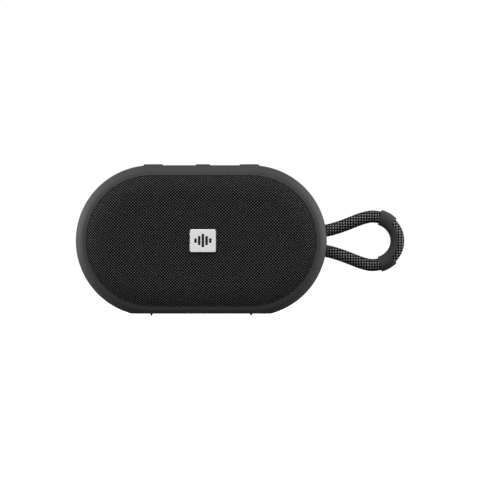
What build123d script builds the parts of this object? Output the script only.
from build123d import *
import math
import os

os.makedirs("parts", exist_ok=True)

# Shower speaker. X runs to the right, Y to the rear, Z up; millimetres.
# The origin is on the floor, midway between the feet and midway through the depth.

# Body: a stadium seen from the front, made of two end arcs joined by straight sides.
HALF_SPAN = 23.75
BODY_R = 36.0
UNDERSIDE_DROP = 34.75
FOOT_H = 1.0
AXIS_Z = FOOT_H + UNDERSIDE_DROP
HALF_DEPTH = 21.7

# Housing wall, measured as radii from the end-arc axis and as depths along Y.
WALL_R = 33.4
OPENING_R = 31.25
FRONT_ROLL_R = 32.85
REAR_ROLL_R = 33.15
LAND_FRONT = -18.3
ROLL_FRONT = -17.82
CREST_FRONT = -12.6
CREST_REAR = 12.8
ROLL_REAR = 17.95
REBATE_R = 32.4
REBATE_REAR = 18.2
REAR_LEDGE = (13.5, 15.5)
REAR_LEDGE_R = 28.8
FRONT_LEDGE = (-12.0, -10.0)
FRONT_LEDGE_R = 29.5

# Screw bosses that take the baffle screws from the front and the cover screws from the rear.
BOSS_RING_R = 28.4
BOSS_R = 2.8
BOSS_MID_X = 11.5
BOSS_END_ANGLE = 40.0
FRONT_BOSS_END = -4.5
REAR_BOSS_START = 8.0
PILOT_R = 1.0
SCREW_R = 0.95
CLEARANCE_R = 1.15
HEAD_R = 1.9
HEAD_H = 1.4
HEAD_BORE_R = 2.1

# Front: baffle, perforated panel and fabric.
BAFFLE_R = 31.0
BAFFLE = (-15.4, -12.4)
GRILLE_FLAT_R = 21.6
GRILLE_EDGE_R = 31.15
GRILLE_FRONT = -20.8
GRILLE_EDGE_Y = -17.9
GRILLE_WRAP_Y = -16.0
FABRIC_T = 0.5
PANEL_T = 1.2
PERFORATION_R = 2.4
PERFORATION_PITCH = 7.2

# Badge on the fabric.
BADGE_X = 0.8
BADGE_W = 12.45
BADGE_H = 10.9
BADGE_T = 0.9
BADGE_PIN_X = 3.6
BADGE_PIN_R = 0.7

# Rear cover.
COVER_R = 32.2
COVER_RIM = 15.9
COVER_POCKET_R = 28.0
COVER_POCKET = 19.0
COVER_FLAT_R = 23.0
COVER_EDGE = 17.9

# Driver, centred on the body; its depths run along Y.
FLANGE_R = 28.0
FLANGE_T = 1.5
BASKET_R = 24.3
DRIVER_HOLE_R = 24.7
COLLAR_R = 27.5
COLLAR_REAR = -10.2
DRIVER_GASKET_T = 0.5
DRIVER_SCREW_RING = 26.3
DRIVER_SCREW_R = 0.8
DRIVER_SCREW_HOLE_R = 0.85
POLE_R = 6.0
COIL_R = 6.7
WINDING_R = 6.85
GAP_R = 7.15

# Passive radiator, centred on the body.
RADIATOR_OPENING_R = 22.2
RADIATOR_FRAME_R = 26.5
RADIATOR_ROLL_R = 21.0
RADIATOR_PLATE_R = 16.5
RADIATOR_FRAME = (17.2, 19.0)

# Buttons in the top wall.
BUTTON_TOP = 0.52
BUTTON_GAP = 0.25
BUTTONS = {"left": (-22.9, 4.72), "middle": (0.8, 3.62), "right": (22.9, 4.72)}
BUTTON_FLANGE_EXTRA = 1.05
SEAL_Z = (AXIS_Z + 32.45, AXIS_Z + 32.95)
FLANGE_Z = (AXIS_Z + 31.6, AXIS_Z + 32.4)
BOARD_Z = (AXIS_Z + 28.15, AXIS_Z + 29.15)
SWITCH_W = 5.2
SWITCH_H = 1.5
STEM_R = 1.45
STEM_HOLE_R = 1.75
BOARD_HALF_L = 30.0
BOARD_HALF_W = 4.2
POST_X = 11.5
POST_R = 1.8

# Charging port in the rear cover, with its hinged rubber cover.
PORT_X = 38.4
PORT_PIVOT_X = 29.8
PORT_END_X = 47.0
PORT_COVER_W = 9.4
PORT_COVER_T = 1.4
PORT_GAP = 0.15
PORT_FLOOR = 20.2
PORT_HOLE = (11.0, 5.6)
PLUG = (10.2, 4.8)
PLUG_FRONT = 18.9
SOCKET = (9.0, 3.2)
SOCKET_REAR = 18.6
LIGHT_Z = AXIS_Z + 9.0
LIGHT_R = 0.85

# Main board.
BOARD_X = (28.4, 46.0)
BOARD_HALF_H = 15.0
BOARD_Y = (9.0, 10.2)
BOARD_HOLES = [(x, z) for x in (31.0, 43.6) for z in (-12.0, 12.0)]

# Battery.
CELL_X = -34.0
CELL_R = 9.0
CELL_HALF_L = 24.75

# Rope strap: the route of the upper half in X and in height above the body's axis.
STRAP_R = 2.92
STRAP_LEG = [(46.6, 4.5), (53.0, 4.5), (59.0, 4.62), (64.6, 6.1), (70.4, 8.2), (76.2, 10.6)]
STRAP_LOOP = [(81.88, 11.94), (88.28, 10.35), (92.85, 5.61), (94.25, 0.0)]
STRAP_PIVOT_X = 62.6
ROOT_END_X = 59.3
STRAP_HOLE_R = 3.3
GRIP_T = 0.8
ANCHOR_X = (46.8, 54.8)
ANCHOR_HALF_H = 10.8
ANCHOR_HALF_D = 5.2
ANCHOR_SCREW = (50.0, 9.1)

# Feet: rubber ribs that run from front to rear.
FOOT_BASE_W = 1.15
FOOT_TIP_W = 0.45
FOOT_HALF_L = 14.0
FOOT_TONGUE_W = 0.8
FOOT_TONGUE_H = 0.6

END_PLANE = Plane(origin=(HALF_SPAN, 0, AXIS_Z), x_dir=(0, 0, 1), z_dir=(-1, 0, 0))
END_AXIS = Axis((HALF_SPAN, 0, AXIS_Z), (0, 1, 0))
CENTRE_PLANE = Plane(origin=(0, 0, AXIS_Z), x_dir=(1, 0, 0), z_dir=(0, 0, 1))
CENTRE_AXIS = Axis((0, 0, AXIS_Z), (0, 1, 0))


def facing(depth):
    """Plane square to Y at a depth, centred on the body's axis; it extrudes towards the front."""
    return Plane(origin=(0, depth, AXIS_Z), x_dir=(1, 0, 0), z_dir=(0, -1, 0))


def boss_points():
    """Screw positions round the stadium, as (x, height above the axis, direction to the wall)."""
    points = []
    for side in (-1, 1):
        for up in (-1, 1):
            points.append((side * BOSS_MID_X, up * BOSS_RING_R, up * 90))
            turn = BOSS_END_ANGLE * up if side > 0 else 180 - BOSS_END_ANGLE * up
            reach = BOSS_RING_R * math.cos(math.radians(BOSS_END_ANGLE))
            rise = BOSS_RING_R * math.sin(math.radians(BOSS_END_ANGLE))
            points.append((side * (HALF_SPAN + reach), up * rise, turn))
    return points


BOSSES = boss_points()
BOSS_XZ = [(x, z) for x, z, turn in BOSSES]


def carry_round(profile, mode=Mode.ADD):
    """Carry a profile drawn on END_PLANE (radius, depth) round the whole stadium."""
    revolve(profile, axis=END_AXIS, revolution_arc=180, mode=mode)
    extrude(profile, amount=2 * HALF_SPAN, mode=mode)
    mirror(about=Plane.YZ)
    mirror(about=Plane.XY.offset(AXIS_Z))


def stadium_plate(radius, front, rear, mode=Mode.ADD):
    """Stadium-shaped plate of an end radius, between two depths."""
    with BuildSketch(facing(rear), mode=Mode.PRIVATE) as outline:
        SlotCenterToCenter(2 * HALF_SPAN, 2 * radius)
    extrude(outline.sketch, amount=rear - front, mode=mode)


def rods(points, radius, front, rear, mode=Mode.ADD):
    """Round rods along Y at (x, height above the axis) points, between two depths."""
    with BuildSketch(facing(rear), mode=Mode.PRIVATE) as circles:
        with Locations(*points):
            Circle(radius)
    extrude(circles.sketch, amount=rear - front, mode=mode)


def block(x_range, depth_range, z_range, mode=Mode.ADD):
    """Box between three pairs of limits; heights are above the axis."""
    with BuildSketch(facing(depth_range[1]), mode=Mode.PRIVATE) as outline:
        with Locations((sum(x_range) / 2, sum(z_range) / 2)):
            Rectangle(x_range[1] - x_range[0], z_range[1] - z_range[0])
    extrude(outline.sketch, amount=depth_range[1] - depth_range[0], mode=mode)


def bosses(points, front, rear):
    """Bosses with a web to the wall, at (x, height, direction) points between two depths."""
    web = BODY_R - 1.8 - BOSS_RING_R
    with BuildSketch(facing(rear), mode=Mode.PRIVATE) as outline:
        for x, z, turn in points:
            with Locations(Location((x, z, 0), (0, 0, turn))):
                Circle(BOSS_R)
                with Locations((web / 2, 0)):
                    Rectangle(web, 2 * BOSS_R)
    extrude(outline.sketch, amount=rear - front)


def ring(inner, outer, front, rear):
    """Flat ring about the centre axis, between two depths."""
    with BuildSketch(facing(rear), mode=Mode.PRIVATE) as outline:
        Circle(outer)
        Circle(inner, mode=Mode.SUBTRACT)
    extrude(outline.sketch, amount=rear - front)


def turned(points):
    """Solid turned about the centre axis from a closed outline of (radius, depth) points."""
    with BuildSketch(CENTRE_PLANE, mode=Mode.PRIVATE) as outline:
        with BuildLine():
            Polyline(*points, close=True)
        make_face()
    revolve(outline.sketch, axis=CENTRE_AXIS)


def rolled_ring(inner, outer, edge, crown, thickness):
    """Half-roll ring about the centre axis whose middle stands at the crown depth."""
    middle = (inner + outer) / 2
    with BuildSketch(CENTRE_PLANE, mode=Mode.PRIVATE) as outline:
        with BuildLine():
            ThreePointArc((inner, edge), (middle, crown), (outer, edge))
            Line((outer, edge), (outer, edge + thickness))
            ThreePointArc((outer, edge + thickness), (middle, crown + thickness), (inner, edge + thickness))
            Line((inner, edge + thickness), (inner, edge))
        make_face()
    revolve(outline.sketch, axis=CENTRE_AXIS)


def screw(x, z, seat, tip, head_r, head_h, shank_r):
    """Screw along Y: the head starts at the seat and stands away from the tip."""
    away = 1 if seat > tip else -1
    ends = sorted((seat, seat + away * head_h))
    rods([(x, z)], head_r, ends[0], ends[1])
    rods([(x, z)], shank_r, min(seat, tip), max(seat, tip))
    socket = sorted((seat + away * head_h, seat + away * head_h * 0.4))
    with BuildSketch(facing(socket[1]), mode=Mode.PRIVATE) as recess:
        with Locations((x, z)):
            RegularPolygon(head_r * 0.5, 6)
    extrude(recess.sketch, amount=socket[1] - socket[0], mode=Mode.SUBTRACT)


def save(piece, label):
    """Label a finished piece and write it out."""
    piece.part.label = label
    export_step(piece.part, f"parts/{label}.step")


# ---------------------------------------------------------------- housing

with BuildPart() as housing_shell:
    with BuildSketch(END_PLANE, mode=Mode.PRIVATE) as wall:
        with BuildLine():
            Polyline(
                (FRONT_ROLL_R, ROLL_FRONT),
                (OPENING_R, LAND_FRONT),
                (OPENING_R, FRONT_LEDGE[0]),
                (FRONT_LEDGE_R, FRONT_LEDGE[0]),
                (FRONT_LEDGE_R, FRONT_LEDGE[1]),
                (WALL_R, FRONT_LEDGE[1]),
                (WALL_R, REAR_LEDGE[0]),
                (REAR_LEDGE_R, REAR_LEDGE[0]),
                (REAR_LEDGE_R, REAR_LEDGE[1]),
                (REBATE_R, REAR_LEDGE[1]),
                (REBATE_R, REBATE_REAR),
                (REAR_ROLL_R, ROLL_REAR),
            )
            TangentArc((BODY_R, CREST_FRONT), (FRONT_ROLL_R, ROLL_FRONT), tangent=(0, -1))
            Line((BODY_R, CREST_FRONT), (BODY_R, CREST_REAR))
            TangentArc((BODY_R, CREST_REAR), (REAR_ROLL_R, ROLL_REAR), tangent=(0, 1))
        make_face()
    carry_round(wall.sketch)
    split(bisect_by=Plane.XY.offset(FOOT_H), keep=Keep.TOP)
    bosses(BOSSES, FRONT_LEDGE[0], FRONT_BOSS_END)
    bosses(BOSSES, REAR_BOSS_START, REAR_LEDGE[1])
    anchor_turn = math.degrees(math.atan2(ANCHOR_SCREW[1], ANCHOR_SCREW[0] - HALF_SPAN))
    anchor_lugs = [(ANCHOR_SCREW[0], up * ANCHOR_SCREW[1], up * anchor_turn) for up in (-1, 1)]
    bosses(anchor_lugs, FRONT_LEDGE[0], -ANCHOR_HALF_D)
    rods(BOSS_XZ, PILOT_R, FRONT_LEDGE[0], FRONT_BOSS_END - 1.0, mode=Mode.SUBTRACT)
    rods(BOSS_XZ, PILOT_R, REAR_BOSS_START + 1.0, REAR_LEDGE[1], mode=Mode.SUBTRACT)
    lug_holes = [(x, z) for x, z, turn in anchor_lugs]
    rods(lug_holes, PILOT_R, -ANCHOR_HALF_D - 4.5, -ANCHOR_HALF_D, mode=Mode.SUBTRACT)
    # Posts for the button board hang from the top wall.
    with BuildSketch(Plane.XY.offset(BOARD_Z[1])):
        with Locations((-POST_X, 0), (POST_X, 0)):
            Circle(POST_R)
    extrude(amount=AXIS_Z + WALL_R + 1.0 - BOARD_Z[1])
    with BuildSketch(Plane.XY.offset(BOARD_Z[1])):
        with Locations((-POST_X, 0), (POST_X, 0)):
            Circle(DRIVER_SCREW_HOLE_R)
    extrude(amount=4.2, mode=Mode.SUBTRACT)
    # Button holes through the top wall.
    with BuildSketch(Plane.XY.offset(AXIS_Z + WALL_R - 1.0)):
        for x, radius in BUTTONS.values():
            with Locations((x, 0)):
                Circle(radius + BUTTON_GAP)
    extrude(amount=5.0, mode=Mode.SUBTRACT)
    # Holes for the two legs of the strap.
    strap_z = STRAP_LEG[2][1] + 0.1
    with BuildSketch(Plane.YZ.offset(HALF_SPAN + OPENING_R)):
        with Locations((0, AXIS_Z - strap_z), (0, AXIS_Z + strap_z)):
            Circle(STRAP_HOLE_R)
    extrude(amount=7.0, mode=Mode.SUBTRACT)
    # Grooves for the tongues of the feet.
    with BuildSketch(Plane.XY.offset(FOOT_H)):
        with Locations((-HALF_SPAN, 0), (HALF_SPAN, 0)):
            Rectangle(FOOT_TONGUE_W, 2 * FOOT_HALF_L)
    extrude(amount=FOOT_TONGUE_H, mode=Mode.SUBTRACT)
save(housing_shell, "housing_shell")

for name, side in (("foot_left", -1), ("foot_right", 1)):
    with BuildPart() as foot:
        with BuildSketch(Plane.XZ.offset(-FOOT_HALF_L)):
            with BuildLine():
                Polyline(
                    (side * HALF_SPAN - FOOT_TIP_W / 2, 0),
                    (side * HALF_SPAN + FOOT_TIP_W / 2, 0),
                    (side * HALF_SPAN + FOOT_BASE_W / 2, FOOT_H),
                    (side * HALF_SPAN + FOOT_TONGUE_W / 2, FOOT_H),
                    (side * HALF_SPAN + FOOT_TONGUE_W / 2, FOOT_H + FOOT_TONGUE_H),
                    (side * HALF_SPAN - FOOT_TONGUE_W / 2, FOOT_H + FOOT_TONGUE_H),
                    (side * HALF_SPAN - FOOT_TONGUE_W / 2, FOOT_H),
                    (side * HALF_SPAN - FOOT_BASE_W / 2, FOOT_H),
                    close=True,
                )
            make_face()
        extrude(amount=2 * FOOT_HALF_L)
    save(foot, name)

# ---------------------------------------------------------------- rear cover

with BuildPart() as rear_cover:
    with BuildSketch(END_PLANE, mode=Mode.PRIVATE) as shell_profile:
        with BuildLine():
            Polyline(
                (COVER_R, COVER_EDGE),
                (COVER_R, COVER_RIM),
                (COVER_POCKET_R, COVER_RIM),
                (COVER_POCKET_R, COVER_POCKET),
                (0, COVER_POCKET),
                (0, HALF_DEPTH),
                (COVER_FLAT_R, HALF_DEPTH),
            )
            TangentArc((COVER_FLAT_R, HALF_DEPTH), (COVER_R, COVER_EDGE), tangent=(1, 0))
        make_face()
    carry_round(shell_profile.sketch)
    rods(BOSS_XZ, BOSS_R, COVER_RIM, COVER_POCKET + 0.5)
    rods(BOSS_XZ, CLEARANCE_R, COVER_RIM, HALF_DEPTH, mode=Mode.SUBTRACT)
    rods(BOSS_XZ, HEAD_BORE_R, COVER_RIM + HEAD_H, HALF_DEPTH, mode=Mode.SUBTRACT)
    # Opening of the passive radiator.
    rods([(0, 0)], RADIATOR_OPENING_R, COVER_POCKET, HALF_DEPTH, mode=Mode.SUBTRACT)
    # Posts that carry the main board.
    rods(BOARD_HOLES, 2.2, BOARD_Y[1], COVER_POCKET)
    rods(BOARD_HOLES, PILOT_R, BOARD_Y[1], BOARD_Y[1] + 5.0, mode=Mode.SUBTRACT)
    # Recess and opening of the charging port, with a notch for a fingernail.
    recess_left = PORT_PIVOT_X - PORT_COVER_T / 2 - PORT_GAP
    recess_right = PORT_END_X + PORT_GAP
    recess_w = PORT_COVER_W + 2 * PORT_GAP
    block(
        (recess_left, PORT_END_X - PORT_COVER_W / 2),
        (PORT_FLOOR, HALF_DEPTH),
        (-recess_w / 2, recess_w / 2),
        mode=Mode.SUBTRACT,
    )
    rods([(PORT_END_X - PORT_COVER_W / 2, 0)], recess_w / 2, PORT_FLOOR, HALF_DEPTH, mode=Mode.SUBTRACT)
    rods([(PORT_END_X, 0)], 2.2, HALF_DEPTH - 0.8, HALF_DEPTH, mode=Mode.SUBTRACT)
    block(
        (PORT_X - PORT_HOLE[0] / 2, PORT_X + PORT_HOLE[0] / 2),
        (COVER_POCKET, HALF_DEPTH),
        (-PORT_HOLE[1] / 2, PORT_HOLE[1] / 2),
        mode=Mode.SUBTRACT,
    )
    rods([(PORT_X, LIGHT_Z - AXIS_Z)], LIGHT_R + 0.05, COVER_POCKET, HALF_DEPTH, mode=Mode.SUBTRACT)
save(rear_cover, "rear_cover")

with BuildPart() as rear_cover_gasket:
    stadium_plate(COVER_R, REAR_LEDGE[1], COVER_RIM)
    stadium_plate(30.4, REAR_LEDGE[1], COVER_RIM, mode=Mode.SUBTRACT)
    rods(BOSS_XZ, BOSS_R, REAR_LEDGE[1], COVER_RIM)
    rods(BOSS_XZ, CLEARANCE_R, REAR_LEDGE[1], COVER_RIM, mode=Mode.SUBTRACT)
save(rear_cover_gasket, "rear_cover_gasket")

with BuildPart() as rear_cover_screws:
    for x, z in BOSS_XZ:
        screw(x, z, COVER_RIM + HEAD_H, REAR_BOSS_START + 1.6, HEAD_R, 0.9 * HEAD_H, SCREW_R)
save(rear_cover_screws, "rear_cover_screws")

# ---------------------------------------------------------------- front baffle and grille

driver_screw_angles = [45, 135, 225, 315]
driver_screw_xz = [
    (
        DRIVER_SCREW_RING * math.cos(math.radians(a)),
        DRIVER_SCREW_RING * math.sin(math.radians(a)),
    )
    for a in driver_screw_angles
]
recess_floor = BAFFLE[0] + FLANGE_T + DRIVER_GASKET_T

with BuildPart() as front_baffle:
    stadium_plate(BAFFLE_R, BAFFLE[0], BAFFLE[1])
    rods([(0, 0)], COLLAR_R, BAFFLE[1], COLLAR_REAR)
    rods([(0, 0)], DRIVER_HOLE_R, BAFFLE[0], COLLAR_REAR, mode=Mode.SUBTRACT)
    rods([(0, 0)], FLANGE_R + 0.3, BAFFLE[0], recess_floor, mode=Mode.SUBTRACT)
    rods(driver_screw_xz, DRIVER_SCREW_HOLE_R, BAFFLE[0], COLLAR_REAR, mode=Mode.SUBTRACT)
    rods(BOSS_XZ, CLEARANCE_R, BAFFLE[0], BAFFLE[1], mode=Mode.SUBTRACT)
    rods(BOSS_XZ, HEAD_BORE_R, BAFFLE[0], BAFFLE[0] + HEAD_H + 0.1, mode=Mode.SUBTRACT)
save(front_baffle, "front_baffle")

with BuildPart() as baffle_gasket:
    stadium_plate(BAFFLE_R, BAFFLE[1], FRONT_LEDGE[0])
    stadium_plate(FRONT_LEDGE_R + 0.1, BAFFLE[1], FRONT_LEDGE[0], mode=Mode.SUBTRACT)
    rods(BOSS_XZ, BOSS_R - 0.2, BAFFLE[1], FRONT_LEDGE[0])
    rods(BOSS_XZ, CLEARANCE_R, BAFFLE[1], FRONT_LEDGE[0], mode=Mode.SUBTRACT)
save(baffle_gasket, "baffle_gasket")

with BuildPart() as baffle_screws:
    for x, z in BOSS_XZ:
        screw(x, z, BAFFLE[0] + HEAD_H + 0.1, FRONT_BOSS_END - 1.6, HEAD_R, 0.9 * HEAD_H, SCREW_R)
save(baffle_screws, "baffle_screws")


def dome(inset, thickness, back):
    """Flat-centred dome with rolled-back edges, lying a distance inside the outer fabric face."""
    front = GRILLE_FRONT + inset
    outer = GRILLE_EDGE_R - inset
    with BuildSketch(END_PLANE, mode=Mode.PRIVATE) as profile:
        with BuildLine():
            Line((0, front), (GRILLE_FLAT_R, front))
            TangentArc((GRILLE_FLAT_R, front), (outer, GRILLE_EDGE_Y), tangent=(1, 0))
            Polyline((outer, GRILLE_EDGE_Y), (outer, back), (outer - thickness, back),
                     (outer - thickness, GRILLE_EDGE_Y))
            TangentArc((GRILLE_FLAT_R, front + thickness), (outer - thickness, GRILLE_EDGE_Y),
                       tangent=(1, 0))
            Polyline((GRILLE_FLAT_R, front + thickness), (0, front + thickness), (0, front))
        make_face()
    carry_round(profile.sketch)


badge_pins = [(BADGE_X - BADGE_PIN_X, 0), (BADGE_X + BADGE_PIN_X, 0)]

with BuildPart() as grille_fabric:
    dome(0, FABRIC_T, GRILLE_WRAP_Y)
    rods(badge_pins, BADGE_PIN_R + 0.1, GRILLE_FRONT, GRILLE_FRONT + FABRIC_T, mode=Mode.SUBTRACT)
save(grille_fabric, "grille_fabric")

with BuildPart() as grille_panel:
    dome(FABRIC_T, PANEL_T, BAFFLE[0])
    panel_back = GRILLE_FRONT + FABRIC_T + PANEL_T
    with BuildSketch(facing(panel_back)):
        with GridLocations(PERFORATION_PITCH, PERFORATION_PITCH, 13, 6):
            Circle(PERFORATION_R)
    extrude(amount=PANEL_T, mode=Mode.SUBTRACT)
    # Solid seat behind the badge.
    block((BADGE_X - 6, BADGE_X + 6), (panel_back - PANEL_T, panel_back), (-4.5, 4.5))
    rods(badge_pins, BADGE_PIN_R + 0.1, GRILLE_FRONT, panel_back, mode=Mode.SUBTRACT)
save(grille_panel, "grille_panel")

with BuildPart() as badge_plate:
    with BuildSketch(facing(GRILLE_FRONT)):
        with Locations((BADGE_X, 0)):
            RectangleRounded(BADGE_W, BADGE_H, 0.6)
    extrude(amount=BADGE_T)
    chamfer(badge_plate.faces().sort_by(Axis.Y)[0].edges(), 0.35)
    rods(badge_pins, BADGE_PIN_R, GRILLE_FRONT, panel_back + 1.0)
save(badge_plate, "badge_plate")

with BuildPart() as badge_clips:
    for x, z in badge_pins:
        rods([(x, z)], 1.7, panel_back, panel_back + 0.5)
        rods([(x, z)], BADGE_PIN_R + 0.02, panel_back, panel_back + 0.5, mode=Mode.SUBTRACT)
save(badge_clips, "badge_clips")

# ---------------------------------------------------------------- driver

flange_rear = BAFFLE[0] + FLANGE_T

with BuildPart() as driver_basket:
    turned(
        [
            (23.3, BAFFLE[0]),
            (FLANGE_R, BAFFLE[0]),
            (FLANGE_R, flange_rear),
            (BASKET_R, flange_rear),
            (BASKET_R, -11.6),
            (16.0, -4.0),
            (7.6, -4.0),
            (7.6, -5.0),
            (15.6, -5.0),
            (23.3, -12.1),
        ]
    )
    rods(driver_screw_xz, DRIVER_SCREW_HOLE_R, BAFFLE[0], flange_rear, mode=Mode.SUBTRACT)
    with BuildSketch(facing(-3.0)):
        with PolarLocations(19.8, 8):
            Circle(2.9)
    extrude(amount=9.5, mode=Mode.SUBTRACT)
save(driver_basket, "driver_basket")

with BuildPart() as driver_gasket:
    ring(24.8, 27.8, flange_rear, flange_rear + DRIVER_GASKET_T)
    rods(driver_screw_xz, DRIVER_SCREW_HOLE_R, flange_rear, recess_floor, mode=Mode.SUBTRACT)
save(driver_gasket, "driver_gasket")

with BuildPart() as driver_screws:
    for x, z in driver_screw_xz:
        screw(x, z, BAFFLE[0], COLLAR_REAR - 0.6, 1.5, 0.9, DRIVER_SCREW_R)
save(driver_screws, "driver_screws")

with BuildPart() as driver_top_plate:
    ring(GAP_R, 14.5, -4.0, -2.0)
save(driver_top_plate, "driver_top_plate")

with BuildPart() as driver_magnet:
    ring(8.6, 16.0, -2.0, 4.5)
    chamfer(driver_magnet.edges().filter_by(GeomType.CIRCLE), 0.3)
save(driver_magnet, "driver_magnet")

with BuildPart() as driver_yoke:
    turned([(0, -4.0), (POLE_R, -4.0), (POLE_R, 4.5), (14.5, 4.5), (14.5, 6.5), (0, 6.5)])
save(driver_yoke, "driver_yoke")

with BuildPart() as driver_voice_coil:
    turned(
        [(6.3, -9.6), (COIL_R, -9.6), (COIL_R, -4.6), (WINDING_R, -4.6), (WINDING_R, -1.5), (6.3, -1.5)]
    )
save(driver_voice_coil, "driver_voice_coil")

with BuildPart() as driver_spider:
    waves = [(COIL_R, -6.8), (9.0, -7.4), (11.5, -6.2), (14.0, -7.4), (17.0, -6.8)]
    turned(waves + [(r, y + 0.4) for r, y in reversed(waves)])
save(driver_spider, "driver_spider")

with BuildPart() as driver_cone:
    turned([(COIL_R, -9.0), (COIL_R, -9.6), (19.6, -15.4), (19.8, -14.9), (19.4, -14.7)])
save(driver_cone, "driver_cone")

with BuildPart() as driver_dust_cap:
    with BuildSketch(CENTRE_PLANE):
        with BuildLine():
            TangentArc((0, -12.4), (8.0, -10.25), tangent=(1, 0))
            Line((8.0, -10.25), (7.6, -10.05))
            TangentArc((0, -12.0), (7.6, -10.05), tangent=(1, 0))
            Line((0, -12.4), (0, -12.0))
        make_face()
    revolve(axis=CENTRE_AXIS)
save(driver_dust_cap, "driver_dust_cap")

with BuildPart() as driver_surround:
    rolled_ring(19.8, 23.3, BAFFLE[0], BAFFLE[0] - 1.5, 0.5)
save(driver_surround, "driver_surround")

# ---------------------------------------------------------------- passive radiator

with BuildPart() as radiator_frame:
    ring(RADIATOR_ROLL_R, RADIATOR_FRAME_R, RADIATOR_FRAME[0], RADIATOR_FRAME[1])
save(radiator_frame, "radiator_frame")

with BuildPart() as radiator_surround:
    rolled_ring(RADIATOR_PLATE_R, RADIATOR_ROLL_R, 17.5, 19.1, 0.6)
save(radiator_surround, "radiator_surround")

with BuildPart() as radiator_plate:
    turned([(0, 17.2), (RADIATOR_PLATE_R, 17.2), (RADIATOR_PLATE_R, 18.2), (13.2, 18.2), (12.4, 19.0), (0, 19.0)])
save(radiator_plate, "radiator_plate")

# ---------------------------------------------------------------- buttons

button_top = AXIS_Z + BODY_R + BUTTON_TOP


def engrave(shape, x):
    """Sink a plus, a bar or a ring into the top of a cap."""
    with BuildSketch(Plane.XY.offset(button_top - 0.2), mode=Mode.PRIVATE) as mark:
        with Locations((x, 0)):
            if shape == "middle":
                Circle(1.3)
                Circle(0.8, mode=Mode.SUBTRACT)
            else:
                Rectangle(3.4, 0.6)
            if shape == "right":
                Rectangle(0.6, 3.4)
    extrude(mark.sketch, amount=0.4, mode=Mode.SUBTRACT)


for side, (x, radius) in BUTTONS.items():
    with BuildPart() as cap:
        with BuildSketch(Plane.XY.offset(FLANGE_Z[1])):
            with Locations((x, 0)):
                Circle(radius)
        extrude(amount=button_top - FLANGE_Z[1])
        chamfer(cap.faces().sort_by(Axis.Z)[-1].edges(), 0.4)
        with BuildSketch(Plane.XY.offset(FLANGE_Z[0])):
            with Locations((x, 0)):
                Circle(radius + BUTTON_FLANGE_EXTRA)
        extrude(amount=FLANGE_Z[1] - FLANGE_Z[0])
        engrave(side, x)
    save(cap, f"button_{side}")

    with BuildPart() as stem:
        with BuildSketch(Plane.XY.offset(BOARD_Z[1] + 0.5)):
            with Locations((x, 0)):
                Circle(STEM_R)
        extrude(amount=FLANGE_Z[0] - BOARD_Z[1] - 0.5)
    save(stem, f"switch_stem_{side}")

with BuildPart() as button_seal:
    with BuildSketch(Plane.XY.offset(SEAL_Z[0])):
        RectangleRounded(57.6, 12.6, 2.0)
        for x, radius in BUTTONS.values():
            with Locations((x, 0)):
                Circle(radius + BUTTON_GAP, mode=Mode.SUBTRACT)
        with Locations((-POST_X, 0), (POST_X, 0)):
            Circle(POST_R + 0.2, mode=Mode.SUBTRACT)
        with Locations((0, -BOARD_HALF_W - 2.6), (0, BOARD_HALF_W + 6.0)):
            Rectangle(2 * (BOSS_MID_X + BOSS_R + 0.4), 5.0, mode=Mode.SUBTRACT)
    extrude(amount=SEAL_Z[1] - SEAL_Z[0])
save(button_seal, "button_seal")

with BuildPart() as button_board:
    with BuildSketch(Plane.XY.offset(BOARD_Z[0])):
        RectangleRounded(2 * BOARD_HALF_L, 2 * BOARD_HALF_W, 1.0)
        with Locations((-POST_X, 0), (POST_X, 0)):
            Circle(1.0, mode=Mode.SUBTRACT)
    extrude(amount=BOARD_Z[1] - BOARD_Z[0])
save(button_board, "button_board")

with BuildPart() as button_switches:
    with BuildSketch(Plane.XY.offset(BOARD_Z[1])):
        for x, radius in BUTTONS.values():
            with Locations((x, 0)):
                Rectangle(SWITCH_W, SWITCH_W)
                Circle(STEM_HOLE_R, mode=Mode.SUBTRACT)
    extrude(amount=SWITCH_H)
save(button_switches, "button_switches")

with BuildPart() as button_board_screws:
    with BuildSketch(Plane.XY.offset(BOARD_Z[0] - 0.9)):
        with Locations((-POST_X, 0), (POST_X, 0)):
            Circle(1.6)
    extrude(amount=0.9)
    with BuildSketch(Plane.XY.offset(BOARD_Z[0])):
        with Locations((-POST_X, 0), (POST_X, 0)):
            Circle(DRIVER_SCREW_R)
    extrude(amount=4.6)
save(button_board_screws, "button_board_screws")

# ---------------------------------------------------------------- charging port and main board

port_middle_y = HALF_DEPTH - PORT_COVER_T / 2

with BuildPart() as port_cover:
    flap_end = PORT_END_X - PORT_COVER_W / 2
    block((PORT_PIVOT_X, flap_end), (HALF_DEPTH - PORT_COVER_T, HALF_DEPTH), (-4.7, 4.7))
    rods([(flap_end, 0)], PORT_COVER_W / 2, HALF_DEPTH - PORT_COVER_T, HALF_DEPTH)
    with BuildSketch(Plane.XY.offset(AXIS_Z - PORT_COVER_W / 2)):
        with Locations((PORT_PIVOT_X, port_middle_y)):
            Circle(PORT_COVER_T / 2)
    extrude(amount=PORT_COVER_W)
    block(
        (PORT_X - PLUG[0] / 2, PORT_X + PLUG[0] / 2),
        (PLUG_FRONT, HALF_DEPTH - PORT_COVER_T),
        (-PLUG[1] / 2, PLUG[1] / 2),
    )
save(port_cover, "port_cover")

with BuildPart() as port_gasket:
    block((PORT_X - 6.6, PORT_X + 6.6), (18.2, COVER_POCKET), (-3.8, 3.8))
    block(
        (PORT_X - PORT_HOLE[0] / 2, PORT_X + PORT_HOLE[0] / 2),
        (18.2, COVER_POCKET),
        (-PORT_HOLE[1] / 2, PORT_HOLE[1] / 2),
        mode=Mode.SUBTRACT,
    )
save(port_gasket, "port_gasket")

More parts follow.
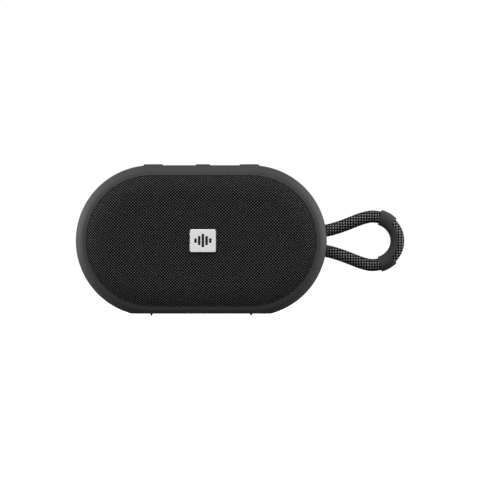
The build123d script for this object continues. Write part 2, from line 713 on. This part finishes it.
with BuildPart() as main_board:
    block(BOARD_X, BOARD_Y, (-BOARD_HALF_H, BOARD_HALF_H))
    rods(BOARD_HOLES, CLEARANCE_R, BOARD_Y[0], BOARD_Y[1], mode=Mode.SUBTRACT)
save(main_board, "main_board")

with BuildPart() as board_screws:
    for x, z in BOARD_HOLES:
        screw(x, z, BOARD_Y[0], BOARD_Y[1] + 4.6, 1.7, 1.0, SCREW_R)
save(board_screws, "board_screws")

with BuildPart() as usb_socket:
    with BuildSketch(facing(SOCKET_REAR)):
        with Locations((PORT_X, 0)):
            RectangleRounded(SOCKET[0], SOCKET[1], 1.4)
    extrude(amount=SOCKET_REAR - BOARD_Y[1])
    with BuildSketch(facing(SOCKET_REAR)):
        with Locations((PORT_X, 0)):
            RectangleRounded(SOCKET[0] - 0.6, SOCKET[1] - 0.6, 1.2)
            Rectangle(6.6, 0.7, mode=Mode.SUBTRACT)
    extrude(amount=6.0, mode=Mode.SUBTRACT)
save(usb_socket, "usb_socket")

with BuildPart() as charge_light_pipe:
    light = [(PORT_X, LIGHT_Z - AXIS_Z)]
    rods(light, LIGHT_R, 11.2, HALF_DEPTH - 0.1)
    rods(light, 1.4, COVER_POCKET - 0.8, COVER_POCKET)
save(charge_light_pipe, "charge_light_pipe")

with BuildPart() as charge_led:
    block((PORT_X - 0.8, PORT_X + 0.8), (BOARD_Y[1], 11.0), (8.6, 9.4))
save(charge_led, "charge_led")

with BuildPart() as radio_shield:
    block((35.4, 45.0), (7.4, BOARD_Y[0]), (2.0, 9.6))
    block((35.6, 44.8), (7.6, BOARD_Y[0]), (2.2, 9.4), mode=Mode.SUBTRACT)
save(radio_shield, "radio_shield")

with BuildPart() as board_components:
    block((34.0, 39.0), (8.0, BOARD_Y[0]), (-6.5, -1.5))
    block((40.6, 44.4), (7.0, BOARD_Y[0]), (-6.8, -3.0))
    block((30.0, 33.2), (7.8, BOARD_Y[0]), (-7.6, -4.6))
    block((30.0, 33.0), (6.4, BOARD_Y[0]), (3.6, 8.8))
    rods([(37.4, -11.6)], 2.0, 5.6, BOARD_Y[0])
save(board_components, "board_components")

# ---------------------------------------------------------------- battery

with BuildPart() as battery_cell:
    with BuildSketch(Plane.XY.offset(AXIS_Z - CELL_HALF_L)):
        with Locations((CELL_X, 0)):
            Circle(CELL_R)
    extrude(amount=2 * CELL_HALF_L - 0.8)
    fillet(battery_cell.edges().filter_by(GeomType.CIRCLE), 0.6)
    with BuildSketch(Plane.XY.offset(AXIS_Z + CELL_HALF_L - 0.8)):
        with Locations((CELL_X, 0)):
            Circle(2.8)
    extrude(amount=0.8)
save(battery_cell, "battery_cell")

with BuildPart() as battery_cradle:
    block((CELL_X - 7.0, CELL_X + 4.6), (BAFFLE[1], -6.0), (-16.0, 16.0))
    for z in (-14.0, 10.0):
        with BuildSketch(Plane.XY.offset(AXIS_Z + z)):
            with Locations((CELL_X, 0)):
                Circle(CELL_R + 1.3)
            with Locations((CELL_X, 6.0 + CELL_R)):
                Rectangle(30, 2 * CELL_R, mode=Mode.SUBTRACT)
        extrude(amount=4.0)
    with BuildSketch(Plane.XY.offset(AXIS_Z - 20.0)):
        with Locations((CELL_X, 0)):
            Circle(CELL_R + 0.1)
    extrude(amount=40.0, mode=Mode.SUBTRACT)
save(battery_cradle, "battery_cradle")


def tube(points, radius):
    """Round tube along straight runs joined by the largest arcs that they allow."""
    radii = []
    for before, here, after in zip(points, points[1:], points[2:]):
        run_in = Vector(*here) - Vector(*before)
        run_out = Vector(*after) - Vector(*here)
        half_turn = math.radians(run_in.get_angle(run_out)) / 2
        radii.append(0.45 * min(run_in.length, run_out.length) / math.tan(half_turn))
    with BuildLine(mode=Mode.PRIVATE) as path:
        FilletPolyline(*points, radius=radii)
    start = Vector(*points[0])
    with BuildSketch(Plane(origin=start, z_dir=Vector(*points[1]) - start), mode=Mode.PRIVATE) as section:
        Circle(radius)
    centreline = path.wire()
    sweep(section.sketch, path=centreline)
    return radii, centreline.length


WIRE_R = 0.6

with BuildPart() as battery_leads:
    tube(
        [
            (-31.0, 3.0, AXIS_Z - 25.4),
            (-24.0, 5.0, AXIS_Z - 26.4),
            (-8.0, 9.0, AXIS_Z - 22.0),
            (12.0, 10.0, AXIS_Z - 19.0),
            (26.0, 6.0, AXIS_Z - 14.0),
            (30.5, 6.4, AXIS_Z - 9.0),
            (31.4, 7.0, AXIS_Z - 6.6),
        ],
        WIRE_R,
    )
    tube(
        [
            (-31.0, 3.0, AXIS_Z + 25.6),
            (-24.0, 5.0, AXIS_Z + 25.4),
            (-8.0, 9.0, AXIS_Z + 22.0),
            (12.0, 10.0, AXIS_Z + 20.0),
            (24.0, 6.0, AXIS_Z + 13.0),
            (29.0, 4.4, AXIS_Z + 8.6),
            (31.2, 5.6, AXIS_Z + 6.4),
        ],
        WIRE_R,
    )
save(battery_leads, "battery_leads")

with BuildPart() as driver_leads:
    for up in (-1.6, 1.6):
        tube(
            [
                (18.4, -2.6, AXIS_Z + up),
                (21.0, 0.4, AXIS_Z + up - 0.5),
                (26.0, 3.4, AXIS_Z + up - 0.4),
                (32.0, 4.6, AXIS_Z + up - 1.4),
                (36.4, 7.1, AXIS_Z + up - 3.8),
            ],
            WIRE_R,
        )
save(driver_leads, "driver_leads")

with BuildPart() as button_cable:
    tube(
        [
            (27.0, 1.0, BOARD_Z[0] - 1.1),
            (31.0, 2.4, BOARD_Z[0] - 3.0),
            (33.6, 4.8, BOARD_Z[0] - 7.6),
            (34.2, 7.2, BOARD_Z[0] - 13.0),
        ],
        0.9,
    )
save(button_cable, "button_cable")

# ---------------------------------------------------------------- strap

upper_half = STRAP_LEG + STRAP_LOOP
lower_half = [(x, -z) for x, z in upper_half[-2::-1]]
strap_route = [(x, 0.0, AXIS_Z + z) for x, z in upper_half + lower_half]

with BuildPart() as whole_strap:
    strap_radii, strap_length = tube(strap_route, STRAP_R)
print("strap arc radii:", [round(r, 1) for r in strap_radii])
print("strap length:", round(strap_length, 2))
section_area = math.pi * STRAP_R**2
print("strap volume against section x length:", round(whole_strap.part.volume / (section_area * strap_length), 4))

for name, up in (("strap_root_upper", 1), ("strap_root_lower", -1)):
    with BuildPart() as root:
        add(whole_strap.part)
        with BuildSketch(facing(10)):
            with Locations((ROOT_END_X - 20, up * 10)):
                Rectangle(40, 20)
        extrude(amount=20, mode=Mode.INTERSECT)
    save(root, name)

# The free loop starts in noses rounded about the line that it swings on.
with BuildPart() as strap_cord:
    add(whole_strap.part)
    with BuildSketch(Plane.XY.offset(AXIS_Z - 20)):
        with Locations((STRAP_PIVOT_X, 0)):
            Circle(STRAP_R)
        with Locations((STRAP_PIVOT_X + 25, 0)):
            Rectangle(50, 2 * STRAP_R + 2)
    extrude(amount=40, mode=Mode.INTERSECT)
save(strap_cord, "strap_cord")


def midway(a, b):
    """Point halfway between two points."""
    return tuple((p + q) / 2 for p, q in zip(a, b))


first = len(STRAP_LEG)
corner = strap_route[first : first + 7]
radius_at = strap_radii[first - 1 : first + 6]
grip_ends = [midway(corner[0], corner[1]), midway(corner[1], corner[2])]
grip_ends += [midway(corner[4], corner[5]), midway(corner[5], corner[6])]
GRIP_SPANS = [
    ([grip_ends[0], corner[1], grip_ends[1]], radius_at[1:2], False),
    ([grip_ends[1], corner[2], corner[3], corner[4], grip_ends[2]], radius_at[2:5], True),
    ([grip_ends[2], corner[5], grip_ends[3]], radius_at[5:6], False),
]

# Rubber grip: a full sleeve at both shoulders and an inner half-sleeve between them.
with BuildPart() as strap_grip:
    for points, radii, open_outside in GRIP_SPANS:
        with BuildLine(mode=Mode.PRIVATE) as span:
            FilletPolyline(*points, radius=radii)
        along = Vector(*points[1]) - Vector(*points[0])
        section_plane = Plane(origin=points[0], x_dir=(0, 1, 0), z_dir=along)
        with BuildSketch(section_plane, mode=Mode.PRIVATE) as sleeve:
            Circle(STRAP_R + GRIP_T)
            Circle(STRAP_R, mode=Mode.SUBTRACT)
            if open_outside:
                with Locations((0, -5)):
                    Rectangle(12, 10, mode=Mode.SUBTRACT)
        sweep(sleeve.sketch, path=span.wire())
save(strap_grip, "strap_grip")

leg_holes = [(0, AXIS_Z - STRAP_LEG[1][1]), (0, AXIS_Z + STRAP_LEG[1][1])]

with BuildPart() as strap_anchor_block:
    block(ANCHOR_X, (-ANCHOR_HALF_D, ANCHOR_HALF_D), (-ANCHOR_HALF_H, ANCHOR_HALF_H))
    fillet(strap_anchor_block.edges().filter_by(Axis.Y), 1.0)
    with BuildSketch(Plane.YZ.offset(ANCHOR_X[0])):
        with Locations(*leg_holes):
            Circle(STRAP_R + 0.15)
    extrude(amount=ANCHOR_X[1] - ANCHOR_X[0], mode=Mode.SUBTRACT)
    rods(lug_holes, CLEARANCE_R, -ANCHOR_HALF_D, ANCHOR_HALF_D, mode=Mode.SUBTRACT)
save(strap_anchor_block, "strap_anchor_block")

with BuildPart() as strap_anchor_screws:
    for x, z in lug_holes:
        screw(x, z, ANCHOR_HALF_D, -ANCHOR_HALF_D - 4.0, 1.7, 1.2, SCREW_R)
save(strap_anchor_screws, "strap_anchor_screws")

with BuildPart() as strap_ferrules:
    ferrule_end = STRAP_LEG[0][0]
    with BuildSketch(Plane.YZ.offset(ferrule_end - 2.4)):
        with Locations(*leg_holes):
            Circle(STRAP_R + 0.6)
    extrude(amount=2.4)
save(strap_ferrules, "strap_ferrules")

with BuildPart() as strap_seals:
    with BuildSketch(Plane.YZ.offset(ANCHOR_X[1])):
        with Locations(*leg_holes):
            Circle(STRAP_R + 1.0)
            Circle(STRAP_R + 0.15, mode=Mode.SUBTRACT)
    extrude(amount=1.2)
save(strap_seals, "strap_seals")
